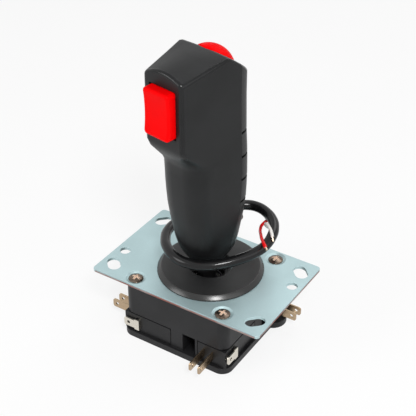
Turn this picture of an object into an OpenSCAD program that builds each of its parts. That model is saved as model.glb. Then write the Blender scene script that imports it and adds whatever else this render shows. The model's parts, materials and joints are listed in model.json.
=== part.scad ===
// Panel-mount arcade flight stick: sprung gimbal base with four microswitches, and a
// pistol grip with a trigger button and a thumb button. Origin at the middle of the
// mounting plate's top face, +Z up along the stick, the trigger towards -Y.

/* [Mounting plate] */
// Long side of the plate
plate_l = 97; // [94:1:120]
// Short side of the plate
plate_w = 63; // [62:1:90]
// Sheet thickness
plate_t = 1.6; // [1.2:0.1:3]
// Corner radius of the plate
plate_corner_r = 2; // [1:0.5:5]
// Diameter of the hole that the shaft tilts in
plate_hole_d = 22; // [20:0.5:26]
// Width of a mounting slot
slot_w = 6.5; // [5:0.1:7]
// End-to-end length of a mounting slot
slot_l = 10; // [8:0.5:11]
// Distance of a slot's centre from the plate's short edge
slot_edge_x = 6.9; // [6:0.1:8]
// Distance of a slot's centre from the plate's long edge
slot_edge_y = 9.1; // [7:0.1:11]
// Diameter of the two round mounting holes
panel_hole_d = 5.5; // [4:0.1:6]
// Distance of the round mounting holes from the plate's short edge
panel_hole_edge = 5.2; // [4.6:0.1:6]
// Y of the round mounting holes
panel_hole_y = 10.4; // [9:0.1:12]

/* [Dust washer] */
// Diameter of the dust washer
washer_d = 54; // [48:0.5:56]
// Thickness of the dust washer
washer_t = 2.6; // [1.5:0.1:3]
// Diameter of its shaft opening
washer_hole_d = 22.4; // [22:0.2:24]
// Radius of its rounded rim
washer_rim_r = 2; // [0.5:0.1:2.2]
// Shift of the loose washer along the plate
washer_shift_x = 1.7; // [0:0.1:1.8]
// Shift of the loose washer across the plate
washer_shift_y = 1.1; // [0:0.1:1.2]

/* [Base] */
// Height of the pivot housing
housing_h = 17.9; // [17:0.1:20]
// Wall of the moulded base parts
base_wall = 2.4; // [2:0.1:3]
// Reach of the switch tray beyond the housing on each side
tray_lip = 1.5; // [1:0.1:2]
// Thickness of the tray floor
tray_floor = 3.5; // [2.5:0.1:5]
// Corner radius of the tray
tray_corner_r = 6; // [4:0.5:6]
// Room for a microswitch between tray floor and housing
switch_room = 11; // [10.6:0.1:13]

/* [Microswitches] */
// Length of a microswitch
switch_l = 27.8; // [27:0.1:28]
// Height of a microswitch, along its plunger
switch_h = 15.9; // [15:0.1:16]
// Thickness of a microswitch
switch_t = 10.3; // [9.5:0.1:10.4]
// Length that a side blade stands out of its switch
blade_reach = 13; // [11:0.5:14]
// Width of a blade
blade_w = 4.8; // [4:0.1:6]
// Thickness of a blade
blade_t = 0.8; // [0.6:0.1:1]
// Travel of a plunger
plunger_travel = 1.2; // [0.8:0.1:1.4]

/* [Gimbal] */
// Depth of the pivot point under the plate's top face
pivot_depth = 13; // [12.5:0.1:13.5]
// Outer diameter of the gimbal ring
ring_d = 25; // [24:0.2:25.4]
// Height of the gimbal ring
ring_h = 6; // [5:0.1:6.4]
// Diameter of the gimbal and shaft pins
pin_d = 3; // [2.5:0.1:3.4]
// Diameter of the pivot hub on the shaft
hub_d = 15; // [14:0.1:15.2]

/* [Shaft] */
// Diameter of the shaft
shaft_d = 10; // [9:0.1:10.4]
// Diameter of the spigot that carries the grip
spigot_d = 8; // [7:0.1:8.4]
// Side of the square actuator
actuator_w = 20.6; // [20:0.1:22]
// Room between the actuator and a plunger at rest
actuator_gap = 2.6; // [2.5:0.1:3.5]
// Height of the actuator
actuator_h = 4.8; // [4:0.1:5]

/* [Grip] */
// Turn of the grip on its shaft, in degrees
grip_turn = -10; // [-20:1:20]
// Height of the grip's lower end above the plate
grip_bottom = 7.5; // [7.5:0.1:9]
// Wall of the grip shells
grip_wall = 2.4; // [2:0.1:2.8]
// Height of the ridge on top of the grip
ridge_z = 123; // [122:0.5:124]
// Slope of the face that carries the thumb button, in degrees
thumb_slope = 38; // [36:1:40]
// Number of grooves across the back cover
groove_count = 4; // [2:1:5]
// Distance between grooves
groove_pitch = 12.5; // [10:0.5:14]

/* [Buttons] */
// Width of the trigger
trigger_w = 15.4; // [13:0.1:16]
// Height of the trigger
trigger_h = 23; // [20:0.5:23.5]
// Reach of the trigger out of the grip
trigger_out = 5; // [3:0.1:5.5]
// Travel of the trigger
trigger_travel = 2; // [1:0.1:2]
// Diameter of the thumb button
thumb_d = 18; // [15:0.1:18.4]
// Height of the thumb button's dome
thumb_dome = 4; // [2.5:0.1:5]
// Travel of the thumb button
thumb_travel = 1.8; // [1:0.1:1.9]

/* [Cord] */
// Diameter of the cord's sheath
cord_d = 5.2; // [4:0.1:6]
// Diameter of a single wire
wire_d = 1.6; // [1:0.1:2]

/* [Hidden] */
$fn = 64;

// Clearances
run_gap = 0.05;
fit_gap = 0.02;
slide_gap = 0.3;
cut = 1;

// Reach of the switches round the actuator, which sets the width of the housing over them
plunger_out = plunger_travel;
switch_front_face = actuator_w / 2 + actuator_gap + plunger_out;
switch_back = switch_front_face + switch_h;
housing_w = 2 * switch_back;

// Heights of the base, downwards from the plate's top face
housing_top = -plate_t;
housing_bottom = housing_top - housing_h;
tray_top = housing_bottom - switch_room;
tray_bottom = tray_top - tray_floor;
tray_w = housing_w + 2 * tray_lip;
switch_z = tray_top + switch_t / 2;
housing_corner_r = 5;
pivot_z = -pivot_depth;
quarter = 90;
sides = [0, 1, 2, 3];

// Plate screws and their pressed dimples
screw_d = 4;
screw_head_d = 7.6;
screw_head_h = 1.4;
dimple_d = 10.5;
dimple_depth = 0.8;
plate_screw_l = 9;
boss_d = 9;
plate_screw_pitch = housing_w - boss_d;

// Slots
slot_x = plate_l / 2 - slot_edge_x;
panel_hole_x = plate_l / 2 - panel_hole_edge;
slot_y = plate_w / 2 - slot_edge_y;

// Gimbal and its well in the housing
ring_gap = 0.5;
ring_bore_d = hub_d + 4 * ring_gap;
well_d = ring_d + 1.8;
well_wall = 3;
hub_h = 7;
gimbal_pin_out = well_d / 2 + 5;
gimbal_pin_in = ring_bore_d / 2 + 0.2;

// Shaft
shoulder_z = grip_bottom + 2.5;
socket_top = 40;
nut_h = 6.5;
nut_af = 13;
spigot_top = socket_top + nut_h + 1.5;
actuator_bottom = switch_z - actuator_h / 2;
actuator_corner_r = 5;
clip_t = 1;
shaft_bottom = actuator_bottom - clip_t - 1.6;
clip_d = 14;
groove_depth = 0.8;

// Centring spring
spring_washer_t = 1;
spring_washer_play = 0.4;
spring_washer_d = well_d - 2 * spring_washer_play;
spring_wire = 1.4;
spring_turns = 3;
spring_low = pivot_z + hub_h / 2;
spring_high = housing_top - spring_washer_t;
spring_r_low = shaft_d / 2 + spring_wire / 2 + 0.4;
spring_r_high = spring_washer_d / 2 - spring_wire / 2 - 0.8;
washer_bore_d = 19;

// Microswitch parts, drawn for the front switch and turned for the others
plunger_d = 3;
plunger_in = 3;
plunger_place = 21;
plunger_x = plunger_place - switch_back;
peg_d = 3;
peg_inset = 2.8;
peg_x = [peg_inset - switch_back, switch_l - switch_back - peg_inset];
peg_y = [peg_inset - switch_back, -switch_front_face - peg_inset];
blade_place = [12.3, 7.3];
blade_y = [blade_place[0] - switch_back, blade_place[1] - switch_back];
com_place = [0.4, 8.6];
com_x = [com_place[0] - switch_back, com_place[1] - switch_back];
com_foot = 2;
com_stand = 0.8;
blade_hole_d = 1.8;
case_edge = 0.8;

// Tray posts
post_w = 7;
post_x0 = switch_l - switch_back + slide_gap;
post_x1 = post_x0 + post_w;
post_depth = 7.5;
rib_w = 1.4;
rib_x = switch_front_face - rib_w - slide_gap;
tray_screw_d = 3;
tray_screw_l = 12;
tray_screw_head_d = 5.6;
tray_screw_head_h = 2;
tray_screw_x = (post_x0 + post_x1) / 2;
tray_screw_y = -housing_w / 2 + 4;
tray_hole_d = 27;
lug_r = 7.5;
lug_x = tray_w / 2 - 3;
lug_y = 19;

// Grip sections from the bottom up: height, front, back, half width in front, half width behind,
// corner radius in front, corner radius behind
function level(share) = grip_bottom + share * (ridge_z - grip_bottom);
head_front_y = -28;
grip_sections = [
    [grip_bottom, -8.6, 8.6, 8.6, 8.6, 8.2, 8.2],
    [level(0.022), -9.8, 9.8, 9.8, 9.8, 9.3, 9.3],
    [level(0.09), -14.2, 13.4, 12.6, 13.6, 11.4, 11],
    [level(0.18), -16.4, 14.5, 13.4, 15, 11.2, 10.3],
    [level(0.325), -19, 15.4, 14.2, 16.5, 11, 9],
    [level(0.44), -20, 15.5, 14.3, 16.8, 11, 8.8],
    [level(0.535), -20.4, 15.5, 14, 16.7, 10.5, 9],
    [level(0.66), head_front_y, 15.5, 11.75, 16.3, 2.2, 9.8],
    [level(0.8), head_front_y, 15.5, 11.75, 16, 2, 10]
];
grip_levels = [0, 0.5, 1, 1.5, 2, 2.5, 3, 3.5, 4, 4.5, 5, 5.5, 6, 6.25, 6.5, 6.75, 7, 8];
head = grip_sections[len(grip_sections) - 1];
arc_steps = 5;
cavity_steps = 3;
front_drop = 3;
head_front_z = ridge_z - front_drop;
ridge_y = -1.5;
ridge_round = 0.8;
crown_front = 3.8;
crown_ridge = 0.3;
crown_half = 12;
edge_r = 1.3;
edge_angles = [0, 30, 60, 90];
least_r = 0.8;
roof_columns = [0.67, 0.33, 0, -0.33, -0.67];
head_side_back = head[2] - head[6];
head_side_front = head[1] + head[5];
ridge_share = (head_side_back - ridge_y) / (head_side_back - head_side_front);
side_shares = [ridge_share * 0.5, ridge_share - 0.03, ridge_share + 0.03, ridge_share + 0.3];
seam_y = 6;
groove_first_z = 44.5;
groove_w = 1.2;
groove_cut = 0.9;

// Grip screws
grip_screw_x = 9;
grip_screw_z = [30, level(0.75)];
grip_screw_d = 3;
grip_screw_head_d = 5.6;
grip_screw_l = 12;
grip_boss_d = 7;
grip_screw_head_y = 12;

// Trigger and its switch
trigger_z = level(0.81);
trigger_flange = 1.5;
trigger_lip = 0.7;
trigger_hollow = 1;
trigger_post_d = 5;
trigger_inner = head_front_y + grip_wall;
trigger_flange_y = trigger_inner + 0.1;
trigger_post_l = 5.1;
trigger_post_y = trigger_flange_y + trigger_post_l;
small_plunger_d = 2.4;
touch_gap = 0.1;
trigger_switch_y = trigger_post_y + touch_gap + trigger_travel + 0.3;
trigger_switch_d = 9;
trigger_switch_h = 19.8;
trigger_switch_w = 6.4;
trigger_web_y = trigger_switch_y + trigger_switch_d;
web_t = 1.8;

// Thumb button and its switch, depths measured inwards from the thumb face
thumb_y = 6.3;
thumb_z = ridge_z - (thumb_y - ridge_y) * tan(thumb_slope);
thumb_flange = 1.2;
thumb_lip = 0.7;
thumb_flange_depth = grip_wall + 0.5;
thumb_post_d = 5;
thumb_post_depth = 7;
thumb_switch_depth = thumb_post_depth + touch_gap + thumb_travel + 0.3;
thumb_switch_l = 12.8;
thumb_switch_w = 5.8;
thumb_switch_h = 6.5;
thumb_web_depth = thumb_switch_depth + thumb_switch_h;
thumb_dome_r = (pow(thumb_d / 2, 2) + pow(thumb_dome, 2)) / (2 * thumb_dome);

// Cord grommet at the back of the grip
grommet_z = 26.5;
grommet_y = 18.3;
grommet_d = 8;
grommet_tip_d = 6.4;
grommet_in = 11.5;
grommet_flange_d = 10.5;
grommet_flange_y = [14.2, 15.4];

// Routes of the cord and its wires, chosen by hand
cord_route = [
    [3.179, 18.03, 26.5], [3.874, 21.969, 26.5], [7, 25.6, 26.4], [12.4, 27.6, 26.1], [18.2, 26.8, 25.4],
    [23.3, 24, 24.6], [27, 19.5, 23.6], [28.8, 14, 22.2], [28.6, 8, 20.2], [26.2, 2, 18.6], [22, -4.5, 17.4],
    [16.5, -10.8, 16.4], [9.5, -16, 15.6], [1.8, -18.6, 15.4], [-6.5, -18, 15.5], [-13.8, -14, 15.5],
    [-19.5, -7.8, 15.2], [-22.8, -0.5, 15], [-23, 7, 15], [-20.4, 14.5, 15.4], [-15.5, 21, 16.6],
    [-9, 26.6, 18.4], [-1.8, 30.4, 20.2], [5, 32.4, 21.6], [10.4, 32.8, 21.9], [15.4, 31.8, 21.4],
    [19, 29.8, 20.9]
];
red_route = [
    [18.82, 29.22, 21.93], [19.86, 28.64, 21.79], [18.6, 26.3, 20.3], [17.9, 23.5, 19.4], [19.3, 19.5, 19.6],
    [23, 13.4, 21.8], [27.6, 6.8, 24.2], [31.5, 2.5, 25], [33.7, 0.8, 24.3]
];
white_route = [
    [18.6, 29.34, 19.87], [19.64, 28.76, 19.73], [22, 26, 19.2], [22.6, 22.6, 20.2], [22.4, 19.4, 23.4],
    [23.8, 17, 26.2], [27.2, 14.4, 26.8], [30, 12, 25.4], [31.8, 10.2, 22.8]
];
black_route = [
    [19.58, 30.85, 20.9], [20.62, 30.27, 20.76], [22, 29.4, 18.4], [22.6, 28.2, 16], [23.4, 26.6, 14],
    [25.2, 25, 12.8]
];
cord_sides = 10;
wire_sides = 8;

// Shapes used more than once

module rounded_plate(w, d, r, h) {
    linear_extrude(h)
        union() {
            square([w - 2 * r, d], center = true);
            square([w, d - 2 * r], center = true);
            for (x = [-1, 1], y = [-1, 1])
                translate([x * (w / 2 - r), y * (d / 2 - r)]) circle(r);
        }
}

module four_corners(pitch) {
    for (x = [-1, 1], y = [-1, 1])
        translate([x * pitch / 2, y * pitch / 2, 0]) children();
}

module slot_shape() {
    run = (slot_l - slot_w) / 2;
    for (s = [-1, 1]) translate([s * run, 0]) circle(d = slot_w);
    square([2 * run, slot_w], center = true);
}

module cross_slot(d, depth) {
    for (turn = [0, quarter])
        rotate([0, 0, turn]) translate([-d / 2, -d / 12, -depth]) cube([d, d / 6, depth + cut]);
}

module each_side() {
    for (k = sides) rotate([0, 0, k * quarter]) children();
}

module turned() {
    rotate([0, 0, grip_turn]) children();
}

module at_thumb() {
    translate([0, thumb_y, thumb_z]) rotate([-thumb_slope, 0, 0]) children();
}

module along_y() {
    rotate([-quarter, 0, 0]) children();
}

// Round tube swept along a list of points
function unit(v) = v / norm(v);
function route_way(p, i) =
    unit(p[min(i + 1, len(p) - 1)] - p[max(i - 1, 0)]);
function ring_points(p, i, r, n) =
    let (way = route_way(p, i), side = unit(cross([0, 0, 1], way)), up = cross(way, side))
    [for (k = [0 : n - 1]) p[i] + r * (cos(360 * k / n) * side + sin(360 * k / n) * up)];

module swept_tube(p, d, n) {
    points = [for (i = [0 : len(p) - 1]) each ring_points(p, i, d / 2, n)];
    last = (len(p) - 1) * n;
    near = [for (k = [0 : n - 1]) k];
    far = [for (k = [n - 1 : -1 : 0]) last + k];
    polyhedron(points, concat([near], band_faces(0, n, len(p) - 1), [far]));
}

// Smooth grip body, worked out from its sections

function grip_slope(k, c) =
    (grip_sections[k + 1][c] - grip_sections[k][c]) / (grip_sections[k + 1][0] - grip_sections[k][0]);
function grip_tangent(k, c) =
    let (last = len(grip_sections) - 1, a = grip_slope(max(k - 1, 0), c), b = grip_slope(min(k, last - 1), c))
    a * b <= 0 ? 0 : 2 * a * b / (a + b);
function grip_at(u, c) =
    let (
        k = min(floor(u), len(grip_sections) - 2),
        t = u - k,
        h = grip_sections[k + 1][0] - grip_sections[k][0],
        a = grip_sections[k][c],
        b = grip_sections[k + 1][c]
    )
    c == 0 ? a + h * t
    : a * (1 + 2 * t) * pow(1 - t, 2) + b * t * t * (3 - 2 * t)
      + h * (grip_tangent(k, c) * t * pow(1 - t, 2) - grip_tangent(k + 1, c) * t * t * (1 - t));
function corner_arc(x, y, r, from, n) =
    [for (i = [0 : n]) [x + r * cos(from + quarter * i / n), y + r * sin(from + quarter * i / n)]];
function between(a, b, t) = a + (b - a) * t;
function grip_outline(u, inset, n) =
    let (
        front = grip_at(u, 1) + inset,
        back = grip_at(u, 2) - inset,
        wf = grip_at(u, 3) - inset,
        wb = grip_at(u, 4) - inset,
        rf = max(grip_at(u, 5) - inset, least_r),
        rb = max(grip_at(u, 6) - inset, least_r),
        side_back = [wb, back - rb],
        side_front = [wf, front + rf],
        right = [for (t = side_shares) between(side_back, side_front, t)]
    )
    concat(
        corner_arc(wb - rb, back - rb, rb, 0, n),
        corner_arc(rb - wb, back - rb, rb, quarter, n),
        [for (q = right) [-q[0], q[1]]],
        corner_arc(rf - wf, front + rf, rf, 2 * quarter, n),
        [for (c = roof_columns) [c * (rf - wf), front]],
        corner_arc(wf - rf, front + rf, rf, 3 * quarter, n),
        [for (k = [len(right) - 1 : -1 : 0]) right[k]]
    );
function crown_at(y) =
    between(crown_front, crown_ridge, min(max((y - head_front_y) / (ridge_y - head_front_y), 0), 1));
function roof(x, y) =
    let (
        rise = (ridge_z - head_front_z) / (ridge_y - head_front_y),
        a = head_front_z + (y - head_front_y) * rise,
        b = ridge_z - (y - ridge_y) * tan(thumb_slope)
    )
    (a + b) / 2 - sqrt(pow((a - b) / 2, 2) + ridge_round * ridge_round)
    - crown_at(y) * pow(x / crown_half, 2);
function edge_ring(inset, drop, n) =
    [for (q = grip_outline(len(grip_sections) - 1, inset, n)) [q[0], q[1], roof(q[0], q[1]) - drop]];
function grip_rings(inset, n) =
    let (levels = [for (u = grip_levels) if (inset == 0 || grip_at(u, 0) > grip_bottom + inset) u])
    concat(
        [
            for (u = levels)
                [for (q = grip_outline(u, inset, n)) [q[0], q[1], grip_at(u, 0)]]
        ],
        [
            for (a = edge_angles)
                edge_ring(inset + edge_r * (1 - cos(a)), inset + edge_r * (1 - sin(a)), n)
        ]
    );
function band_faces(first, count, bands) = [
    for (i = [0 : bands - 1], k = [0 : count - 1])
        let (a = first + i * count + k, b = first + i * count + (k + 1) % count)
        each [[a, b + count, b], [a, a + count, b + count]]
];
// Indices of the ring's right half, from the back to the front, of its mirror image on the left,
// and of the points between them along the front
function right_half(n, m, w) =
    concat(
        [for (i = [n : -1 : 0]) i],
        [for (k = [0 : m - 1]) 4 * (n + 1) + 2 * m + w - 1 - k],
        [for (i = [n : -1 : 0]) 3 * (n + 1) + m + w + i]
    );
function left_half(n, m) =
    concat(
        [for (i = [0 : n]) n + 1 + i],
        [for (k = [0 : m - 1]) 2 * (n + 1) + k],
        [for (i = [0 : n]) 2 * (n + 1) + m + i]
    );
function front_edge(n, m, w) = [for (j = [w - 1 : -1 : 0]) 3 * (n + 1) + m + j];

module grip_body(inset, n) {
    m = len(side_shares);
    rings = grip_rings(inset, n);
    count = len(rings[0]);
    bands = len(rings) - 1;
    rim = rings[bands];
    first = bands * count;
    wide = len(roof_columns);
    right = right_half(n, m, wide);
    left = left_half(n, m);
    front = front_edge(n, m, wide);
    rows = len(right);
    inner = [
        for (k = [1 : rows - 2], c = roof_columns)
            let (x = rim[right[k]][0] * c, y = rim[right[k]][1]) [x, y, roof(x, y) - inset]
    ];
    base = len(rings) * count;
    row = [
        for (k = [0 : rows - 1])
            concat(
                [first + right[k]],
                k == 0 ? [] : [
                    for (j = [0 : wide - 1])
                        k == rows - 1 ? first + front[j] : base + (k - 1) * wide + j
                ],
                [first + left[k]]
            )
    ];
    mid = (wide + 1) / 2;
    back_fan = [
        for (j = [0 : wide])
            [row[0][j < mid ? 0 : 1], row[1][j], row[1][j + 1]]
    ];
    closing = [[row[0][0], row[1][mid], row[0][1]]];
    roof_faces = [
        for (k = [1 : rows - 2], j = [0 : wide])
            each [
                [row[k][j], row[k + 1][j], row[k + 1][j + 1]],
                [row[k][j], row[k + 1][j + 1], row[k][j + 1]]
            ]
    ];
    floor_faces = [
        for (k = [0 : rows - 3])
            each [
                [right[k], left[k], left[k + 1]],
                [right[k], left[k + 1], right[k + 1]]
            ]
    ];
    floor_front = concat([right[rows - 1]], front, [left[rows - 1]]);
    floor_end = [
        for (j = [0 : wide])
            [right[rows - 2], floor_front[j + 1], floor_front[j]]
    ];
    floor_last = [[right[rows - 2], left[rows - 2], left[rows - 1]]];
    polyhedron(
        concat([for (ring = rings) each ring], inner),
        concat(floor_faces, floor_last, floor_end, band_faces(0, count, bands), back_fan, closing, roof_faces)
    );
}

big = 400;
module in_front_of_seam() {
    translate([-big / 2, seam_y - big, -big / 2]) cube([big, big, big]);
}

module behind_seam() {
    translate([-big / 2, seam_y, -big / 2]) cube([big, big, big]);
}

// Base pieces

module mounting_plate() {
    color([0.70, 0.80, 0.82])
        difference() {
            translate([0, 0, -plate_t]) rounded_plate(plate_l, plate_w, plate_corner_r, plate_t);
            translate([0, 0, -plate_t - cut]) cylinder(d = plate_hole_d, h = plate_t + 2 * cut);
            for (x = [-1, 1], y = [-1, 1])
                translate([x * slot_x, y * slot_y, -plate_t - cut])
                    rotate([0, 0, -x * y * quarter / 2])
                        linear_extrude(plate_t + 2 * cut) slot_shape();
            for (s = [-1, 1])
                translate([s * panel_hole_x, s * panel_hole_y, -plate_t - cut])
                    cylinder(d = panel_hole_d, h = plate_t + 2 * cut);
            four_corners(plate_screw_pitch) {
                translate([0, 0, -plate_t - cut]) cylinder(d = screw_d + 2 * fit_gap, h = plate_t + 2 * cut);
                translate([0, 0, -dimple_depth])
                    cylinder(d1 = screw_head_d + 0.6, d2 = dimple_d, h = dimple_depth + 0.001);
            }
        }
}

module plate_screws() {
    color([0.75, 0.68, 0.60])
        four_corners(plate_screw_pitch) {
            difference() {
                translate([0, 0, -dimple_depth])
                    rotate_extrude()
                        intersection() {
                            translate([0, screw_head_h - screw_head_d]) circle(screw_head_d);
                            square([screw_head_d / 2, screw_head_h]);
                        }
                translate([0, 0, screw_head_h - dimple_depth]) cross_slot(screw_head_d * 0.55, 0.9);
            }
            translate([0, 0, -dimple_depth - plate_screw_l]) cylinder(d = screw_d, h = plate_screw_l);
        }
}

module dust_washer() {
    color([0.10, 0.10, 0.11])
        translate([washer_shift_x, washer_shift_y, 0]) rotate_extrude()
            difference() {
                union() {
                    square([washer_d / 2 - washer_rim_r, washer_t]);
                    square([washer_d / 2, washer_t - washer_rim_r]);
                    translate([washer_d / 2 - washer_rim_r, washer_t - washer_rim_r]) circle(washer_rim_r);
                }
                square([washer_hole_d / 2, washer_t + cut]);
                translate([0, -washer_t]) square([washer_d, washer_t]);
            }
}

module pivot_housing() {
    inner = housing_w - 2 * base_wall;
    color([0.13, 0.13, 0.14])
        difference() {
            union() {
                translate([0, 0, housing_bottom])
                    difference() {
                        rounded_plate(housing_w, housing_w, housing_corner_r, housing_h);
                        translate([0, 0, base_wall])
                            rounded_plate(inner, inner, housing_corner_r - base_wall, housing_h);
                    }
                translate([0, 0, housing_bottom]) cylinder(d = well_d + 2 * well_wall, h = housing_h);
                intersection() {
                    translate([0, 0, housing_bottom])
                        rounded_plate(housing_w, housing_w, housing_corner_r, housing_h);
                    union() {
                        four_corners(plate_screw_pitch)
                            translate([0, 0, housing_bottom]) cylinder(d = boss_d, h = housing_h);
                        each_side()
                            translate([-base_wall / 2, well_d / 2 + 1, housing_bottom])
                                cube([base_wall, housing_w / 2 - well_d / 2 - 1, housing_h]);
                        each_side()
                            translate([tray_screw_x, tray_screw_y, housing_bottom])
                                cylinder(d = boss_d - 2, h = housing_h);
                    }
                }
            }
            translate([0, 0, housing_bottom - cut]) cylinder(d = well_d, h = housing_h + 2 * cut);
            for (s = [0, 1])
                rotate([0, 0, s * 2 * quarter])
                    translate([0, 0, pivot_z]) rotate([0, quarter, 0])
                        cylinder(d = pin_d + 2 * fit_gap, h = gimbal_pin_out + fit_gap);
            four_corners(plate_screw_pitch)
                translate([0, 0, -dimple_depth - plate_screw_l - fit_gap])
                    cylinder(d = screw_d + 2 * fit_gap, h = plate_screw_l + cut);
            each_side()
                translate([tray_screw_x, tray_screw_y, housing_bottom - cut])
                    cylinder(d = tray_screw_d + 2 * fit_gap, h = tray_screw_l + cut);
        }
}

module switch_tray() {
    post_top = tray_top + switch_room;
    color([0.12, 0.12, 0.13])
        difference() {
            union() {
                translate([0, 0, tray_bottom]) rounded_plate(tray_w, tray_w, tray_corner_r, tray_floor);
                translate([lug_x, lug_y, tray_bottom]) cylinder(r = lug_r, h = tray_floor);
                each_side() {
                    translate([post_x0, -housing_w / 2, tray_top])
                        cube([post_x1 - post_x0, post_depth, switch_room]);
                    translate([rib_x, -housing_w / 2, tray_top]) cube([rib_w, post_depth, switch_room]);
                    for (k = [0, 1])
                        translate([peg_x[k], peg_y[k], tray_top])
                            cylinder(d = peg_d, h = switch_t * 0.8);
                }
            }
            translate([0, 0, tray_bottom - cut]) cylinder(d = tray_hole_d, h = tray_floor + 2 * cut);
            each_side()
                translate([tray_screw_x, tray_screw_y, 0]) {
                    translate([0, 0, tray_bottom - cut])
                        cylinder(d = tray_screw_d + 2 * fit_gap, h = post_top - tray_bottom + 2 * cut);
                    translate([0, 0, tray_bottom - cut])
                        cylinder(d = tray_screw_head_d + 0.4, h = tray_screw_head_h + cut);
                }
        }
}

module tray_screws() {
    head_z = tray_bottom + tray_screw_head_h;
    color([0.62, 0.62, 0.63])
        each_side()
            translate([tray_screw_x, tray_screw_y, 0])
                difference() {
                    union() {
                        translate([0, 0, head_z - tray_screw_head_h + 0.3])
                            cylinder(d = tray_screw_head_d, h = tray_screw_head_h - 0.3);
                        translate([0, 0, head_z])
                            cylinder(d = tray_screw_d, h = housing_bottom - head_z + tray_screw_l - cut);
                    }
                    translate([0, 0, tray_bottom + 0.3]) mirror([0, 0, 1])
                        cross_slot(tray_screw_head_d * 0.6, 1);
                }
}

// Microswitch pieces, front switch

module switch_case() {
    color([0.15, 0.15, 0.16])
        difference() {
            translate([-switch_back, -switch_back, tray_top])
                difference() {
                    cube([switch_l, switch_h, switch_t]);
                    for (z = [0, switch_t])
                        translate([-cut, switch_h, z]) rotate([45, 0, 0])
                            cube([switch_l + 2 * cut, case_edge, case_edge], center = false);
                }
            for (k = [0, 1])
                translate([peg_x[k], peg_y[k], tray_top - cut])
                    cylinder(d = peg_d + 2 * fit_gap, h = switch_t + 2 * cut);
            translate([plunger_x, -switch_front_face - plunger_in - plunger_travel - slide_gap, switch_z])
                along_y()
                    cylinder(d = plunger_d + 2 * run_gap, h = plunger_in + plunger_travel + slide_gap + cut);
        }
}

module blade(l) {
    linear_extrude(blade_t)
        difference() {
            union() {
                translate([-l + blade_w / 4, -blade_w / 2]) square([l - blade_w / 4, blade_w]);
                translate([-l, -blade_w / 4]) square([blade_w / 4, blade_w / 2]);
                for (s = [-1, 1])
                    translate([-l + blade_w / 4, s * blade_w / 4]) circle(blade_w / 4);
            }
            translate([-l + blade_w * 0.55, 0]) circle(d = blade_hole_d);
        }
}

module switch_terminals() {
    com_y = -switch_back - com_stand - blade_t;
    color([0.80, 0.68, 0.42])
        for (y = blade_y)
            translate([-switch_back, y + blade_t / 2, switch_z]) rotate([quarter, 0, 0]) blade(blade_reach);
    color([0.86, 0.82, 0.72]) {
        translate([com_x[1], com_y + blade_t, switch_z]) rotate([quarter, 0, 0]) blade(com_x[1] - com_x[0]);
        translate([com_x[1], com_y, switch_z - blade_w * 0.65])
            cube([blade_t, -switch_back - com_y, blade_w * 1.3]);
        translate([com_x[1] - com_foot, com_y, switch_z - blade_w * 0.65])
            cube([com_foot + blade_t, blade_t, blade_w * 1.3]);
    }
}

module switch_plunger() {
    color([0.55, 0.12, 0.10])
        translate([plunger_x, -switch_front_face - plunger_in, switch_z])
            along_y() cylinder(d = plunger_d, h = plunger_in + plunger_out);
}

// Gimbal and shaft

module gimbal_ring() {
    color([0.62, 0.60, 0.55])
        translate([0, 0, pivot_z])
            difference() {
                translate([0, 0, -ring_h / 2]) cylinder(d = ring_d, h = ring_h);
                translate([0, 0, -ring_h / 2 - cut]) cylinder(d = ring_bore_d, h = ring_h + 2 * cut);
                translate([-ring_d, 0, 0]) rotate([0, quarter, 0])
                    cylinder(d = pin_d + 2 * run_gap, h = 2 * ring_d);
                translate([0, -ring_d, 0]) along_y() cylinder(d = pin_d + 2 * fit_gap, h = 2 * ring_d);
            }
}

module gimbal_pins() {
    color([0.72, 0.72, 0.73])
        for (s = [0, 1])
            rotate([0, 0, s * 2 * quarter])
                translate([gimbal_pin_in, 0, pivot_z]) rotate([0, quarter, 0])
                    cylinder(d = pin_d, h = gimbal_pin_out - gimbal_pin_in);
}

module shaft_pin() {
    l = ring_d - 1;
    color([0.72, 0.72, 0.73])
        translate([0, -l / 2, pivot_z]) along_y() cylinder(d = pin_d, h = l);
}

module shaft() {
    clip_z = actuator_bottom - clip_t;
    color([0.70, 0.70, 0.71])
        difference() {
            union() {
                translate([0, 0, shaft_bottom]) cylinder(d = shaft_d, h = shoulder_z - shaft_bottom);
                translate([0, 0, pivot_z - hub_h / 2]) cylinder(d = hub_d, h = hub_h);
                translate([0, 0, shoulder_z]) cylinder(d = spigot_d, h = spigot_top - shoulder_z);
            }
            translate([0, -hub_d, pivot_z]) along_y() cylinder(d = pin_d + 2 * run_gap, h = 2 * hub_d);
            translate([0, 0, clip_z])
                difference() {
                    cylinder(d = shaft_d + cut, h = clip_t);
                    translate([0, 0, -cut]) cylinder(d = shaft_d - 2 * groove_depth, h = clip_t + 2 * cut);
                }
        }
}

module spring_washer() {
    color([0.66, 0.66, 0.67])
        translate([0, 0, housing_top - spring_washer_t])
            difference() {
                cylinder(d = spring_washer_d, h = spring_washer_t);
                translate([0, 0, -cut]) cylinder(d = washer_bore_d, h = spring_washer_t + 2 * cut);
            }
}

module centring_spring() {
    steps = spring_turns * 14;
    low = spring_low + spring_wire / 2 + fit_gap;
    high = spring_high - spring_wire / 2 - fit_gap;
    path = [
        for (i = [0 : steps])
            let (
                t = i / steps,
                r = spring_r_low + (spring_r_high - spring_r_low) * t,
                a = 360 * spring_turns * t
            )
            [r * cos(a), r * sin(a), low + (high - low) * t]
    ];
    color([0.58, 0.58, 0.60]) swept_tube(path, spring_wire, wire_sides);
}

module actuator() {
    color([0.86, 0.86, 0.84])
        translate([0, 0, actuator_bottom])
            difference() {
                union() {
                    rounded_plate(actuator_w, actuator_w, actuator_corner_r, actuator_h);
                    cylinder(d = shaft_d + 4, h = actuator_h);
                }
                translate([0, 0, -cut]) cylinder(d = shaft_d + 2 * fit_gap, h = actuator_h + 2 * cut);
            }
}

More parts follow.
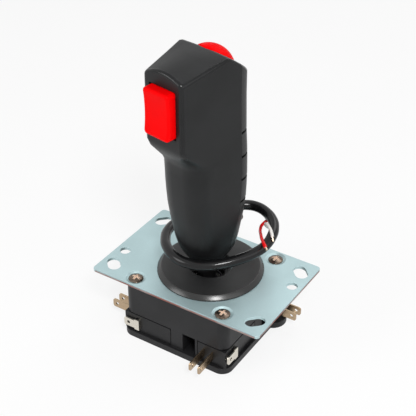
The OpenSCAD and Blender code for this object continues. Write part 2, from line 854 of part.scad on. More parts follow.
module retaining_clip() {
    color([0.35, 0.35, 0.36])
        translate([0, 0, actuator_bottom - clip_t])
            difference() {
                cylinder(d = clip_d, h = clip_t);
                translate([0, 0, -cut])
                    cylinder(d = shaft_d - 2 * groove_depth + 2 * fit_gap, h = clip_t + 2 * cut);
                translate([0, -shaft_d * 0.3, -cut]) cube([clip_d, shaft_d * 0.6, clip_t + 2 * cut]);
            }
}

module shaft_nut() {
    color([0.70, 0.70, 0.71])
        translate([0, 0, socket_top])
            difference() {
                cylinder(d = nut_af / cos(30), h = nut_h, $fn = 6);
                translate([0, 0, -cut]) cylinder(d = spigot_d + 2 * fit_gap, h = nut_h + 2 * cut);
            }
}

// Grip

module grip_cavity() {
    grip_body(grip_wall, cavity_steps);
}

module grip_webs() {
    block = 60;
    translate([-block / 2, -block / 2, grip_bottom]) cube([block, block, socket_top - grip_bottom]);
    translate([-block / 2, trigger_web_y, trigger_z - trigger_h / 2 - 4]) cube([block, web_t, trigger_h + 3]);
    intersection() {
        at_thumb() translate([-block / 2, -block / 2, -thumb_web_depth - web_t]) cube([block, block, web_t]);
        translate([-block / 2, trigger_web_y, 0]) cube([block, block, big]);
    }
    for (s = [-1, 1])
        translate([s * grip_screw_x, trigger_web_y, grip_screw_z[1]]) along_y()
            cylinder(d = grip_boss_d, h = block);
}

module thumb_hole() {
    pocket = thumb_flange_depth + thumb_flange + thumb_travel + slide_gap;
    at_thumb() {
        translate([0, 0, -pocket]) cylinder(d = thumb_d + 2 * slide_gap, h = big);
        translate([0, 0, -pocket])
            cylinder(d = thumb_d + 2 * (thumb_lip + slide_gap), h = pocket - thumb_flange_depth + fit_gap);
    }
}

module grip_front_shell() {
    tw = trigger_w + 2 * slide_gap;
    th = trigger_h + 2 * slide_gap;
    color([0.11, 0.11, 0.12])
        turned()
            difference() {
                intersection() {
                    union() {
                        difference() {
                            grip_body(0, arc_steps);
                            grip_cavity();
                        }
                        intersection() {
                            grip_body(grip_wall / 2, cavity_steps);
                            grip_webs();
                        }
                    }
                    in_front_of_seam();
                }
                cylinder(d = spigot_d + 2 * fit_gap, h = spigot_top);
                cylinder(d = shaft_d + 2 * slide_gap, h = shoulder_z);
                translate([-tw / 2, head_front_y - cut, trigger_z - th / 2])
                    cube([tw, grip_wall + 2 * cut, th]);
                thumb_hole();
                for (s = [-1, 1], z = grip_screw_z)
                    translate([s * grip_screw_x, seam_y - grip_screw_l + 4, z]) along_y()
                        cylinder(d = grip_screw_d + 2 * fit_gap, h = grip_screw_l);
            }
}

module grip_back_cover() {
    color([0.12, 0.12, 0.13])
        turned()
            difference() {
                intersection() {
                    union() {
                        difference() {
                            grip_body(0, arc_steps);
                            grip_cavity();
                        }
                        intersection() {
                            grip_body(grip_wall / 2, cavity_steps);
                            for (s = [-1, 1], z = grip_screw_z)
                                translate([s * grip_screw_x, seam_y, z]) along_y()
                                    cylinder(d = grip_boss_d, h = big);
                        }
                    }
                    behind_seam();
                }
                difference() {
                    for (k = [0 : groove_count - 1])
                        translate([-big / 2, seam_y, groove_first_z + k * groove_pitch - groove_w / 2])
                            cube([big, big, groove_w]);
                    grip_body(groove_cut, cavity_steps);
                }
                thumb_hole();
                for (s = [-1, 1], z = grip_screw_z)
                    translate([s * grip_screw_x, seam_y - cut, z]) along_y() {
                        cylinder(d = grip_screw_d + 2 * fit_gap, h = big);
                        translate([0, 0, grip_screw_head_y - seam_y + cut])
                            cylinder(d = grip_screw_head_d + 0.4, h = big);
                    }
                translate([0, 0, grommet_z]) along_y() {
                    translate([0, 0, seam_y]) cylinder(d = grommet_d + 2 * fit_gap, h = big);
                    translate([0, 0, grommet_flange_y[0]])
                        cylinder(d = grommet_flange_d + 2 * slide_gap, h = big);
                }
            }
}

module grip_screws() {
    color([0.30, 0.30, 0.31])
        turned()
            for (s = [-1, 1], z = grip_screw_z)
                translate([s * grip_screw_x, grip_screw_head_y, z]) along_y()
                    difference() {
                        union() {
                            cylinder(d = grip_screw_head_d, h = 1.6);
                            translate([0, 0, -grip_screw_l + 1])
                                cylinder(d = grip_screw_d, h = grip_screw_l - 1);
                        }
                        translate([0, 0, 1.6]) cross_slot(grip_screw_head_d * 0.6, 0.9);
                    }
}

// Trigger

module trigger() {
    tip = head_front_y - trigger_out;
    round_r = 2;
    hollow_r = (pow(trigger_h / 2, 2) + pow(trigger_hollow, 2)) / (2 * trigger_hollow);
    color([0.90, 0.06, 0.06])
        turned()
            translate([0, 0, trigger_z]) {
                difference() {
                    translate([0, trigger_flange_y, 0]) rotate([quarter, 0, 0])
                        rounded_plate(trigger_w, trigger_h, round_r, trigger_flange_y - tip);
                    translate([-trigger_w, tip - hollow_r + trigger_hollow, 0]) rotate([0, quarter, 0])
                        cylinder(r = hollow_r, h = 2 * trigger_w);
                }
                translate([0, trigger_flange_y + trigger_flange, 0]) rotate([quarter, 0, 0])
                    rounded_plate(trigger_w + 2 * trigger_lip, trigger_h + 2 * trigger_lip, round_r,
                        trigger_flange);
                translate([0, trigger_flange_y, 0]) along_y()
                    cylinder(d = trigger_post_d, h = trigger_post_y - trigger_flange_y);
            }
}

module small_switch(l, w, h, bore_depth) {
    difference() {
        translate([-l / 2, -w / 2, -h]) cube([l, w, h]);
        translate([0, 0, -bore_depth]) cylinder(d = small_plunger_d + 2 * run_gap, h = bore_depth + cut);
    }
}

module at_trigger_switch() {
    translate([0, trigger_switch_y, trigger_z]) rotate([quarter, 0, 0]) rotate([0, 0, quarter]) children();
}

module trigger_switch() {
    color([0.16, 0.16, 0.17])
        turned()
            at_trigger_switch()
                small_switch(trigger_switch_h, trigger_switch_w, trigger_switch_d, trigger_travel + 2.5);
}

module trigger_plunger() {
    color([0.92, 0.92, 0.90])
        turned()
            at_trigger_switch()
                translate([0, 0, -2]) cylinder(d = small_plunger_d, h = 2 + trigger_travel + 0.3);
}

// Thumb button

module thumb_button() {
    color([0.90, 0.06, 0.06])
        turned()
            at_thumb() {
                intersection() {
                    translate([0, 0, thumb_dome - thumb_dome_r]) sphere(thumb_dome_r, $fn = 64);
                    translate([0, 0, -cut]) cylinder(d = thumb_d, h = thumb_dome + 2 * cut);
                }
                translate([0, 0, -thumb_flange_depth]) cylinder(d = thumb_d, h = thumb_flange_depth);
                translate([0, 0, -thumb_flange_depth - thumb_flange])
                    cylinder(d = thumb_d + 2 * thumb_lip, h = thumb_flange);
                translate([0, 0, -thumb_post_depth])
                    cylinder(d = thumb_post_d, h = thumb_post_depth - thumb_flange_depth);
            }
}

module thumb_switch() {
    color([0.16, 0.16, 0.17])
        turned()
            at_thumb()
                translate([0, 0, -thumb_switch_depth])
                    small_switch(thumb_switch_l, thumb_switch_w, thumb_switch_h, thumb_travel + 2.5);
}

module thumb_plunger() {
    color([0.92, 0.92, 0.90])
        turned()
            at_thumb()
                translate([0, 0, -thumb_switch_depth - 2])
                    cylinder(d = small_plunger_d, h = 2 + thumb_travel + 0.3);
}

// Cord

module cord_grommet() {
    color([0.08, 0.08, 0.09])
        turned()
            translate([0, 0, grommet_z]) along_y() {
                translate([0, 0, grommet_in]) cylinder(d = grommet_d, h = grommet_flange_y[0] - grommet_in);
                translate([0, 0, grommet_flange_y[0]])
                    cylinder(d = grommet_flange_d, h = grommet_flange_y[1] - grommet_flange_y[0]);
                translate([0, 0, grommet_flange_y[1]])
                    cylinder(d1 = grommet_d, d2 = grommet_tip_d, h = grommet_y - grommet_flange_y[1]);
            }
}

module cord_sheath() {
    color([0.09, 0.09, 0.10]) swept_tube(cord_route, cord_d, cord_sides);
}

module wire_red() {
    color([0.85, 0.08, 0.08]) swept_tube(red_route, wire_d, wire_sides);
}

module wire_white() {
    color([0.92, 0.90, 0.86]) swept_tube(white_route, wire_d, wire_sides);
}

module wire_black() {
    color([0.08, 0.08, 0.08]) swept_tube(black_route, wire_d, wire_sides);
}

mounting_plate();
plate_screws();
dust_washer();
pivot_housing();
switch_tray();
tray_screws();
switch_case();  // switch_case_front
rotate([0, 0, quarter]) switch_case();  // switch_case_right
rotate([0, 0, 2 * quarter]) switch_case();  // switch_case_rear
rotate([0, 0, 3 * quarter]) switch_case();  // switch_case_left
switch_terminals();  // terminals_front
rotate([0, 0, quarter]) switch_terminals();  // terminals_right
rotate([0, 0, 2 * quarter]) switch_terminals();  // terminals_rear
rotate([0, 0, 3 * quarter]) switch_terminals();  // terminals_left
switch_plunger();  // plunger_front
rotate([0, 0, quarter]) switch_plunger();  // plunger_right
rotate([0, 0, 2 * quarter]) switch_plunger();  // plunger_rear
rotate([0, 0, 3 * quarter]) switch_plunger();  // plunger_left
gimbal_ring();
gimbal_pins();
shaft_pin();
shaft();
spring_washer();
centring_spring();
actuator();
retaining_clip();
shaft_nut();
grip_front_shell();
grip_back_cover();
grip_screws();
trigger();
trigger_switch();
trigger_plunger();
thumb_button();
thumb_switch();
thumb_plunger();
cord_grommet();
cord_sheath();
wire_red();
wire_white();
wire_black();
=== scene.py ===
"""Looks and stage for a panel-mount arcade flight stick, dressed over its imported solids."""

import json
import math

import bmesh
import bpy
from bpy.props import FloatProperty, FloatVectorProperty, PointerProperty
from mathutils import Matrix, Vector


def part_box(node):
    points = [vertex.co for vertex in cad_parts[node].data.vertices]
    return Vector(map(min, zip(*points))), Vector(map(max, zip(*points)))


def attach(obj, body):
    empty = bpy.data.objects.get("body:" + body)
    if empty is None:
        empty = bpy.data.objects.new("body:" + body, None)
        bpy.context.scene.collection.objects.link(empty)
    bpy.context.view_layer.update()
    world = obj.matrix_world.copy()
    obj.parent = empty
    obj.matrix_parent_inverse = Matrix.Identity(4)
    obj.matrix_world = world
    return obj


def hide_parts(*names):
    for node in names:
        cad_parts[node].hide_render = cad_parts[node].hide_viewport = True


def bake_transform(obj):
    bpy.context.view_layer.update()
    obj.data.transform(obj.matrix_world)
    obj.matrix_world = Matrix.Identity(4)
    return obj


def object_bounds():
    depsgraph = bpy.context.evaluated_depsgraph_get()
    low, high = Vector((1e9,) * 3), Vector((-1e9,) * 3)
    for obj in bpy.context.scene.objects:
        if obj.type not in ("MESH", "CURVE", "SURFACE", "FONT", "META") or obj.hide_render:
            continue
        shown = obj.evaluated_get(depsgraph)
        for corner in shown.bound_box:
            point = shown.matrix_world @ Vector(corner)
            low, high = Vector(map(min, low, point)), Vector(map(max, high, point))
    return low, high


bl_info = {
    "name": "Arcade Flight Stick",
    "version": (1, 0, 0),
    "blender": (4, 5, 0),
    "location": "View3D > Sidebar > Flight Stick",
    "description": "Dresses the packed flight stick with its finishes, cord and studio",
    "category": "Object",
}

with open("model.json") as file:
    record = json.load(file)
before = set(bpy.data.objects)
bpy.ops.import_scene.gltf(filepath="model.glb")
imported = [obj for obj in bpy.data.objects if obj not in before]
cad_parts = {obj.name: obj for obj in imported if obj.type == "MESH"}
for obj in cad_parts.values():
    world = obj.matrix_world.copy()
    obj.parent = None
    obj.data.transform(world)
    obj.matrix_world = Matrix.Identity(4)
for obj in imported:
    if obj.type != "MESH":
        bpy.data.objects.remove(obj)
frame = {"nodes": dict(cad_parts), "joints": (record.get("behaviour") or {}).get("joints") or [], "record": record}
CAD_BOX = [list(corner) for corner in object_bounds()]
MM = 0.001
WELD = 0.002 * MM
HAIR = 0.01 * MM
OUTWARD = {"front": (0, -1, 0), "right": (1, 0, 0), "rear": (0, 1, 0), "left": (-1, 0, 0)}

# Camera, light and floor, in metres, degrees and watts
CAMERA_PLACE = (0.22339, -0.34567, 0.31732)
CAMERA_PITCH = 34.3
CAMERA_TURN = 32.78
CAMERA_LENS = 88.964
CAMERA_SENSOR = 36
LAMP_AIM = Vector((0, 0, 0.045))
LAMPS = {
    "key": {"place": (0.50, -0.50, 0.77), "size": 0.27, "power": 6.2},
    "left_fill": {"place": (-0.50, -0.66, 0.40), "size": 0.50, "power": 2.4},
    "right_fill": {"place": (0.75, -0.10, 0.50), "size": 0.55, "power": 0.65},
    "top_back": {"place": (0.10, 0.60, 0.80), "size": 0.60, "power": 2.0},
}
SKY_LIGHT = 0.36
FLOOR_REACH = 6.0
FLOOR_GLOW = 0.80

# Bends, as one over a radius in metres, between which a moulded edge goes from dull to polished
BROAD_BEND = 150.0
TIGHT_BEND = 450.0
SHARP_EDGE = math.radians(40.0)
FLAT = math.radians(0.3)
LEAST_AREA = 1e-12

# Routes of the cord and its wires, in millimetres, as the solids have them
CORD_ROUTE = [
    (3.179, 18.03, 26.5), (3.874, 21.969, 26.5), (7, 25.6, 26.4), (12.4, 27.6, 26.1), (18.2, 26.8, 25.4),
    (23.3, 24, 24.6), (27, 19.5, 23.6), (28.8, 14, 22.2), (28.6, 8, 20.2), (26.2, 2, 18.6),
    (22, -4.5, 17.4), (16.5, -10.8, 16.4), (9.5, -16, 15.6), (1.8, -18.6, 15.4), (-6.5, -18, 15.5),
    (-13.8, -14, 15.5), (-19.5, -7.8, 15.2), (-22.8, -0.5, 15), (-23, 7, 15), (-20.4, 14.5, 15.4),
    (-15.5, 21, 16.6), (-9, 26.6, 18.4), (-1.8, 30.4, 20.2), (5, 32.4, 21.6), (10.4, 32.8, 21.9),
    (15.4, 31.8, 21.4), (19, 29.8, 20.9),
]
WIRE_ROUTES = {
    "red": [(18.82, 29.22, 21.93), (19.86, 28.64, 21.79), (18.6, 26.3, 20.3), (17.9, 23.5, 19.4),
            (19.3, 19.5, 19.6), (23, 13.4, 21.8), (27.6, 6.8, 24.2), (31.5, 2.5, 25), (33.7, 0.8, 24.3)],
    "white": [(18.6, 29.34, 19.87), (19.64, 28.76, 19.73), (22, 26, 19.2), (22.6, 22.6, 20.2),
              (22.4, 19.4, 23.4), (23.8, 17, 26.2), (27.2, 14.4, 26.8), (30, 12, 25.4),
              (31.8, 10.2, 22.8)],
    "black": [(19.58, 30.85, 20.9), (20.62, 30.27, 20.76), (22, 29.4, 18.4), (22.6, 28.2, 16),
              (23.4, 26.6, 14), (25.2, 25, 12.8)],
}


class StickSizes(bpy.types.PropertyGroup):
    cord_diameter: FloatProperty(
        name="Cord diameter",
        description="Outside diameter of the cord's sheath",
        default=5.2 * MM, unit="LENGTH")
    cord_length: FloatProperty(
        name="Cord length",
        description="Length of the cord from the grommet to its cut end",
        default=181 * MM, unit="LENGTH")
    wire_diameter: FloatProperty(
        name="Wire diameter",
        description="Outside diameter of a wire's insulation",
        default=1.6 * MM, unit="LENGTH")
    strand_diameter: FloatProperty(
        name="Strand diameter",
        description="Diameter of the bare end of a wire",
        default=0.9 * MM, unit="LENGTH")
    moulded_edge: FloatProperty(
        name="Moulded edge",
        description="Rounding of the moulded parts' edges",
        default=0.35 * MM, unit="LENGTH")
    stamped_edge: FloatProperty(
        name="Stamped edge",
        description="Rounding of the sheet-metal edges",
        default=0.12 * MM, unit="LENGTH")


class StickColours(bpy.types.PropertyGroup):
    grip: FloatVectorProperty(
        name="Grip",
        description="Black of the grip shells",
        default=(0.0075, 0.008, 0.0085), subtype="COLOR")
    base: FloatVectorProperty(
        name="Base",
        description="Black of the housing and tray",
        default=(0.012, 0.012, 0.013), subtype="COLOR")
    washer: FloatVectorProperty(
        name="Washer",
        description="Black of the dust washer",
        default=(0.0095, 0.0098, 0.0101), subtype="COLOR")
    button: FloatVectorProperty(
        name="Buttons",
        description="Red of the trigger and thumb button",
        default=(0.88, 0.0, 0.001), subtype="COLOR")
    plate: FloatVectorProperty(
        name="Plate",
        description="Passivated zinc of the mounting plate",
        default=(0.44, 0.585, 0.605), subtype="COLOR")
    plate_edge: FloatVectorProperty(
        name="Plate edge",
        description="Cut edge of the mounting plate",
        default=(0.27, 0.095, 0.075), subtype="COLOR")
    brass: FloatVectorProperty(
        name="Brass",
        description="Brass of the side blades",
        default=(0.47, 0.35, 0.23), subtype="COLOR")
    silver: FloatVectorProperty(
        name="Silver",
        description="Plated common blades",
        default=(0.70, 0.66, 0.58), subtype="COLOR")
    screw: FloatVectorProperty(
        name="Screws",
        description="Plated screw heads",
        default=(0.15, 0.115, 0.09), subtype="COLOR")
    cord: FloatVectorProperty(
        name="Cord",
        description="Black of the cord's sheath",
        default=(0.005, 0.005, 0.0055), subtype="COLOR")


def sizes():
    return bpy.context.scene.stick_sizes


def colours():
    return bpy.context.scene.stick_colours


class Flow:
    """A shader socket that takes part in Python arithmetic."""

    def __init__(self, paint, socket):
        self.paint = paint
        self.socket = socket

    def _math(self, operation, first, second):
        return self.paint.node("ShaderNodeMath", {"operation": operation}, {0: first, 1: second})

    def __add__(self, other):
        return self._math("ADD", self, other)

    __radd__ = __add__

    def __sub__(self, other):
        return self._math("SUBTRACT", self, other)

    def __rsub__(self, other):
        return self._math("SUBTRACT", other, self)

    def __mul__(self, other):
        return self._math("MULTIPLY", self, other)

    __rmul__ = __mul__

    def __abs__(self):
        return self._math("ABSOLUTE", self, 0.0)

    def most(self, other):
        return self._math("MAXIMUM", self, other)

    def least(self, other):
        return self._math("MINIMUM", self, other)

    def step(self, low, high):
        """0 below low, 1 above high, smooth between."""
        return self.paint.node(
            "ShaderNodeMapRange", {"interpolation_type": "SMOOTHSTEP"},
            {"Value": self, "From Min": low, "From Max": high, "To Min": 0.0, "To Max": 1.0})


class Paint:
    """The nodes of one material, or of the sky."""

    def __init__(self, owner):
        self.owner = owner
        owner.use_nodes = True
        self.tree = owner.node_tree
        self.tree.nodes.clear()

    def node(self, kind, settings=None, values=None, out=0):
        """A node of any kind: its settings first, then its sockets' values or links."""
        made = self.tree.nodes.new(kind)
        for key, value in (settings or {}).items():
            setattr(made, key, value)
        for key, value in (values or {}).items():
            self.put(made.inputs[key], value)
        return Flow(self, made.outputs[out]) if made.outputs else None

    def put(self, socket, value):
        if isinstance(value, Flow):
            self.tree.links.new(value.socket, socket)
        elif socket.type == "RGBA":
            socket.default_value = (*value[:3], 1.0)
        else:
            socket.default_value = value

    def place(self):
        return self.node("ShaderNodeTexCoord", out="Object")

    def axes(self):
        place = self.place()
        return [self.node("ShaderNodeSeparateXYZ", None, {0: place}, out=axis) for axis in range(3)]

    def stretched(self, scale):
        return self.node("ShaderNodeMapping", None, {"Vector": self.place(), "Scale": scale})

    def noise(self, scale, detail=2.0, rough=0.5, at=None):
        values = {"Vector": at or self.place(), "Scale": scale, "Detail": detail, "Roughness": rough}
        return self.node("ShaderNodeTexNoise", None, values, out="Fac")

    def mixed(self, share, first, second):
        """A colour between two colours."""
        return self.node("ShaderNodeMix", {"data_type": "RGBA"}, {0: share, 6: first, 7: second}, out=2)

    def bumped(self, height, distance):
        values = {"Strength": 1.0, "Distance": distance, "Height": height}
        return self.node("ShaderNodeBump", None, values, out="Normal")

    def surface(self, **sockets):
        named = {key.replace("_", " "): value for key, value in sockets.items()}
        return self.node("ShaderNodeBsdfPrincipled", None, named)

    def finish(self, **sockets):
        self.node("ShaderNodeOutputMaterial", None, {"Surface": self.surface(**sockets)})
        return self.owner


def new_paint(name):
    return Paint(bpy.data.materials.new(name))


def shade(colour, share):
    return tuple(channel * share for channel in colour)


def moulded(name, colour, rough, grain_size, grain_depth, specular=0.25, polish=0.0):
    """Moulded plastic with a spark-eroded grain, faint handling marks and polished edges."""
    paint = new_paint(name)
    bend = paint.node("ShaderNodeAttribute", {"attribute_name": "bend"}, out="Fac")
    rubbed = bend.step(BROAD_BEND, TIGHT_BEND)
    cloud = paint.noise(60.0, detail=3.0)
    grain = paint.noise(1.0 / grain_size, detail=2.0)
    worn = paint.noise(900.0, detail=1.0, at=paint.stretched((1.0, 1.0, 0.25))).step(0.62, 0.80)
    tone = paint.mixed(cloud.step(0.3, 0.7), shade(colour, 0.80), shade(colour, 1.25))
    return paint.finish(
        Base_Color=paint.mixed(worn * 0.25, tone, shade(colour, 1.9)),
        Roughness=rough + 0.10 * (cloud - 0.5) + 0.08 * worn - polish * rubbed,
        Normal=paint.bumped(grain, grain_depth),
        Specular_IOR_Level=specular)


def glossy(name, colour, rough, specular=0.3):
    """Polished moulded plastic with a faint flow ripple."""
    paint = new_paint(name)
    cloud = paint.noise(45.0, detail=2.0)
    ripple = paint.noise(260.0, detail=1.0)
    return paint.finish(
        Base_Color=paint.mixed(cloud.step(0.3, 0.7), shade(colour, 0.90), shade(colour, 1.06)),
        Roughness=rough + 0.08 * (cloud - 0.5),
        Normal=paint.bumped(ripple, 0.02 * MM),
        Specular_IOR_Level=specular)


def metal(name, colour, rough, streak=(1.0, 1.0, 14.0), metallic=1.0):
    """Plated or drawn metal with fine streaks and a few dull patches."""
    paint = new_paint(name)
    lines = paint.noise(420.0, detail=3.0, rough=0.6, at=paint.stretched(streak))
    patch = paint.noise(110.0, detail=3.0).step(0.45, 0.75)
    tone = paint.mixed(lines, shade(colour, 0.84), shade(colour, 1.10))
    return paint.finish(
        Base_Color=paint.mixed(patch * 0.30, tone, shade(colour, 0.72)),
        Metallic=metallic,
        Roughness=rough + 0.12 * (lines - 0.5) + 0.10 * patch,
        Normal=paint.bumped(lines, 0.012 * MM))


def zinc_plate():
    """Passivated zinc sheet: a pale spangled face, a dark ring round the shaft hole that is painted shade under
    the washer and also stands for grease, and rusty cut edges.
    """
    paint = new_paint("zinc_plate")
    x, y, z = paint.axes()
    _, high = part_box("mounting_plate")
    rim = 0.05 * MM
    shade_ring_inside, shade_ring_outside = 11.6 * MM, 13.5 * MM
    rolled_from, rolled_to = 0.8 * MM, 0.5 * MM
    painted_shade_black = (0.012, 0.012, 0.011)
    bare_steel = (0.33, 0.27, 0.26)
    edge = (abs(x) - (high.x - rim)).most(abs(y) - (high.y - rim)).step(0.0, rim)
    # Dark ring round the bore: painted shade under the dust washer, where the bore shows through the washer's
    # hole, also standing for grease.
    grease_and_painted_shade = 1.0 - (x * x + y * y).step(shade_ring_inside ** 2, shade_ring_outside ** 2)
    spangle = paint.noise(900.0, detail=2.0)
    cloud = paint.noise(35.0, detail=3.0)
    lines = paint.noise(500.0, detail=2.0, at=paint.stretched((0.05, 1.0, 1.0)))
    zinc = colours().plate
    face = paint.mixed(cloud.step(0.3, 0.7), shade(zinc, 0.94), shade(zinc, 1.05))
    face = paint.mixed(spangle.step(0.55, 0.75) * 0.25, face, shade(zinc, 1.18))
    face = paint.mixed(grease_and_painted_shade, face, painted_shade_black)
    bare = paint.noise(38.0, detail=3.0, rough=0.65).step(0.42, 0.56)
    rolled = z.step(high.z - rolled_from, high.z - rolled_to)
    rust = paint.mixed(bare * 0.85, colours().plate_edge, bare_steel)
    rust = paint.mixed(rolled, rust, shade(zinc, 0.72))
    return paint.finish(
        Base_Color=paint.mixed(edge, face, rust),
        Metallic=0.55 * (1.0 - grease_and_painted_shade),
        Roughness=0.42 + 0.10 * (lines - 0.5) + 0.10 * edge,
        Normal=paint.bumped(lines, 0.008 * MM))


def screw_plating():
    """Browned plating on the plate screws, paler and less metallic inside the cross recesses."""
    paint = new_paint("plate_screw_plating")
    x, y, _ = paint.axes()
    _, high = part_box("plate_screws")
    head_radius = 3.8 * MM
    arm_inside, arm_outside = 0.45 * MM, 0.70 * MM
    reach_inside, reach_outside = 1.9 * MM, 2.2 * MM
    recess_pale = (0.80, 0.63, 0.50)
    aside = abs(abs(x) - (high.x - head_radius))
    along = abs(abs(y) - (high.y - head_radius))
    arm = 1.0 - aside.least(along).step(arm_inside, arm_outside)
    reach = 1.0 - aside.most(along).step(reach_inside, reach_outside)
    recess = arm * reach
    patch = paint.noise(420.0, detail=3.0).step(0.35, 0.75)
    tone = paint.mixed(patch, shade(colours().screw, 0.7), shade(colours().screw, 1.3))
    return paint.finish(
        Base_Color=paint.mixed(recess, tone, recess_pale),
        Metallic=1.0 - 0.7 * recess,
        Roughness=0.20 + 0.14 * patch + 0.25 * recess)


def outward_bend(face):
    """How tightly the surface is rounded at a face, as one over the radius."""
    turns = [(edge.calc_face_angle_signed(0.0), edge.calc_length()) for edge in face.edges]
    turn = sum(angle * length for angle, length in turns if 0.0 < angle < SHARP_EDGE)
    return turn / (2 * max(face.calc_area(), LEAST_AREA))


def merged_copy(node):
    """A joined-up copy of a node's mesh, with whole flat faces, each knowing how it bends."""
    mesh = bpy.data.meshes.new(node + "_skin")
    work = bmesh.new()
    work.from_mesh(frame["nodes"][node].data)
    bmesh.ops.remove_doubles(work, verts=work.verts, dist=WELD)
    bmesh.ops.dissolve_limit(work, angle_limit=FLAT, verts=work.verts, edges=work.edges)
    bend = work.faces.layers.float.new("bend")
    for face in work.faces:
        face[bend] = outward_bend(face)
    work.to_mesh(mesh)
    work.free()
    if "custom_normal" in mesh.attributes:
        mesh.attributes.remove(mesh.attributes["custom_normal"])
    return mesh


def body_of(node):
    return next(body for body, nodes in frame["record"]["behaviour"]["bodies"].items() if node in nodes)


def settled(piece, node):
    """Puts a finished piece in the node's place."""
    bpy.context.scene.collection.objects.link(piece)
    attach(piece, body_of(node))
    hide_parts(node)
    return piece


def dressed(node, materials, edge=0.0, smooth=32.0, segments=2):
    """The node's shape with soft shading, rounded edges and a finish."""
    mesh = merged_copy(node)
    mesh.materials.clear()
    for material in materials:
        mesh.materials.append(material)
    for face in mesh.polygons:
        face.use_smooth = True
        face.material_index = 0
    mesh.set_sharp_from_angle(angle=math.radians(smooth))
    piece = settled(bpy.data.objects.new(node + "_skin", mesh), node)
    if edge > 0:
        bevel = piece.modifiers.new("edges", "BEVEL")
        bevel.limit_method = "ANGLE"
        bevel.angle_limit = math.radians(smooth)
        bevel.width = edge
        bevel.segments = segments
        bevel.profile = 0.5
        bevel.material = -1
        bevel.use_clamp_overlap = True
        normals = piece.modifiers.new("face_normals", "WEIGHTED_NORMAL")
        normals.keep_sharp = False
        normals.weight = 50
    return piece


def tube(name, route, diameter, material):
    """A round cord along a route given in millimetres."""
    curve = bpy.data.curves.new(name, "CURVE")
    curve.dimensions = "3D"
    curve.bevel_depth = diameter / 2
    curve.bevel_resolution = 5
    curve.resolution_u = 10
    curve.use_fill_caps = True
    spline = curve.splines.new("BEZIER")
    spline.bezier_points.add(len(route) - 1)
    for point, place in zip(spline.bezier_points, route):
        point.co = Vector(place) * MM
        point.handle_left_type = "AUTO"
        point.handle_right_type = "AUTO"
    curve.materials.append(material)
    piece = bpy.data.objects.new(name, curve)
    bpy.context.scene.collection.objects.link(piece)
    return piece


class STICK_OT_stage(bpy.types.Operator):
    """Camera at the photograph's angle, a pale floor and soft studio light"""
    bl_idname = "stick.stage"
    bl_label = "Stage"

    def execute(self, context):
        scene = context.scene
        self.camera(scene)
        self.floor(scene)
        for name, lamp in LAMPS.items():
            self.lamp(scene, name, lamp)
        self.studio(scene)
        scene.view_settings.view_transform = "Standard"
        return {"FINISHED"}

    def camera(self, scene):
        camera = bpy.data.objects.new("camera", bpy.data.cameras.new("camera"))
        camera.location = CAMERA_PLACE
        camera.rotation_euler = (math.radians(90 - CAMERA_PITCH), 0, math.radians(CAMERA_TURN))
        camera.data.sensor_width = CAMERA_SENSOR
        camera.data.lens = CAMERA_LENS
        camera.data.clip_start = 10 * MM
        camera.data.dof.use_dof = False
        scene.collection.objects.link(camera)
        scene.camera = camera

    def floor(self, scene):
        floor_mesh = bpy.data.meshes.new("floor")
        work = bmesh.new()
        bmesh.ops.create_grid(
            work, x_segments=2, y_segments=2, size=FLOOR_REACH,
            matrix=Matrix.Translation((0, 0, CAD_BOX[0][2])))
        work.to_mesh(floor_mesh)
        work.free()
        floor = bpy.data.objects.new("floor", floor_mesh)
        floor_mesh.materials.append(self.floor_finish())
        scene.collection.objects.link(floor)

    def lamp(self, scene, name, lamp):
        light = bpy.data.lights.new(name, "AREA")
        light.shape = "DISK"
        light.size = lamp["size"]
        light.energy = lamp["power"]
        holder = bpy.data.objects.new(name, light)
        holder.location = lamp["place"]
        aim = LAMP_AIM - Vector(lamp["place"])
        holder.rotation_euler = aim.to_track_quat("-Z", "Y").to_euler()
        scene.collection.objects.link(holder)

    def seen_rays(self, paint):
        """1 where the camera sees a surface, straight or in a reflection."""
        rays = [paint.node("ShaderNodeLightPath", out=name)
                for name in ("Is Camera Ray", "Is Glossy Ray", "Is Transmission Ray")]
        return rays[0].most(rays[1]).most(rays[2])

    def floor_finish(self):
        paint = new_paint("floor_paper")
        cloud = paint.noise(9.0, detail=3.0)
        paper = paint.surface(
            Base_Color=paint.mixed(cloud, (0.86, 0.86, 0.86), (0.90, 0.90, 0.90)), Roughness=0.9)
        glow = paint.node("ShaderNodeEmission", None, {"Strength": 1.0})
        seen = self.seen_rays(paint) * FLOOR_GLOW
        blend = paint.node("ShaderNodeMixShader", None, {0: seen, 1: paper, 2: glow})
        paint.node("ShaderNodeOutputMaterial", None, {"Surface": blend})
        return paint.owner

    def studio(self, scene):
        scene.world = bpy.data.worlds.new("studio")
        paint = Paint(scene.world)
        level = self.seen_rays(paint).most(SKY_LIGHT)
        sky = paint.node("ShaderNodeBackground", None, {"Color": (1.0, 1.0, 1.0), "Strength": level})
        paint.node("ShaderNodeOutputWorld", None, {"Surface": sky})


